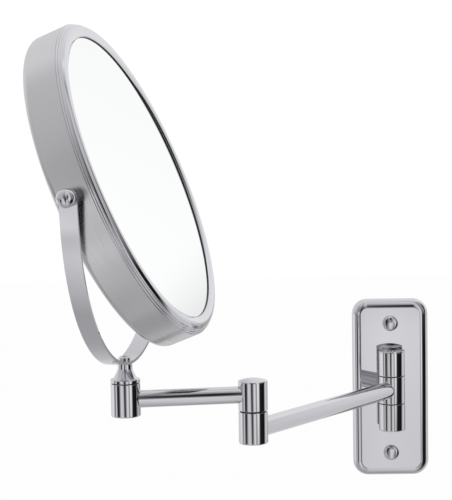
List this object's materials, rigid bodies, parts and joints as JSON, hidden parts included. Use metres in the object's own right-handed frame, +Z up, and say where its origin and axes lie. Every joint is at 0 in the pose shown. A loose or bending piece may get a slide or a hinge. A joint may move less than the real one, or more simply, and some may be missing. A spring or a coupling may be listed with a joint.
{
  "type": "extendable shaving mirror",
  "caption": "Round two-sided shaving mirror in a swivelling yoke on a folding jointed tube arm with a screwed rectangular wall plate.",
  "frame": {"origin": "middle of the wall plate's back face, halfway between the two wall screws, in the plane of the wall", "axes": "+Z up; the wall is the plane y = 0 with +Y into it, and the arm and the mirror are on the -Y side; +X is to the right for someone who faces the wall"},
  "size_m": [0.248, 0.2835, 0.3109],
  "materials": {
    "chrome": "polished chromium plate on brass and steel",
    "satin_chrome": "chromium plate over a brushed steel band",
    "mirror_glass": "silvered float glass",
    "steel": "zinc-plated steel fastener",
    "nylon": "black nylon",
    "core_plastic": "moulded polystyrene, hidden inside"
  },
  "bodies": {
    "wall_bracket": {"wall_plate": "chrome", "screw_caps": "chrome", "upper_knuckle": "chrome", "lower_knuckle": "chrome", "knuckle_screws": "steel", "hinge_bolt": "steel", "hinge_washers": "nylon", "hinge_spring_washer": "steel", "hinge_nut": "steel", "hinge_cap": "chrome"},
    "rear_arm": {"middle_knuckle": "chrome", "rear_arm_tube": "chrome", "elbow_lower_barrel": "chrome", "elbow_bolt": "steel", "elbow_washer": "nylon", "elbow_spring_washer": "steel", "elbow_nut": "steel"},
    "front_arm": {"elbow_upper_barrel": "chrome", "elbow_cap": "chrome", "front_arm_tube": "chrome", "swivel_barrel": "chrome", "swivel_bush": "nylon"},
    "yoke": {"swivel_stem": "chrome", "swivel_washer": "steel", "swivel_screw": "steel", "yoke_strip": "chrome", "yoke_screw": "chrome", "pivot_washers": "nylon"},
    "mirror": {"drum_band": "satin_chrome", "front_bezel": "chrome", "front_glass": "mirror_glass", "magnifying_glass": "mirror_glass", "spacer_ring": "core_plastic", "pivot_blocks": "steel", "pivot_bosses": "chrome", "pivot_studs": "steel", "dome_nuts": "chrome"}
  },
  "joints": [
    {"name": "wall_swivel", "type": "hinge", "parent": "wall_bracket", "child": "rear_arm", "pos_m": [0, -0.018, 0], "axis": [0, 0, 1], "range_deg": [-55.8, 124.2]},
    {"name": "elbow", "type": "hinge", "parent": "rear_arm", "child": "front_arm", "pos_m": [-0.09387, -0.15612, 0], "axis": [0, 0, 1], "continuous": true},
    {"name": "head_swivel", "type": "hinge", "parent": "front_arm", "child": "yoke", "pos_m": [-0.17082, -0.16886, 0], "axis": [0, 0, 1], "continuous": true},
    {"name": "mirror_tilt", "type": "hinge", "parent": "yoke", "child": "mirror", "pos_m": [-0.17082, -0.16886, 0.1528], "axis": [0.1959, 0.9806, 0], "continuous": true}
  ]
}
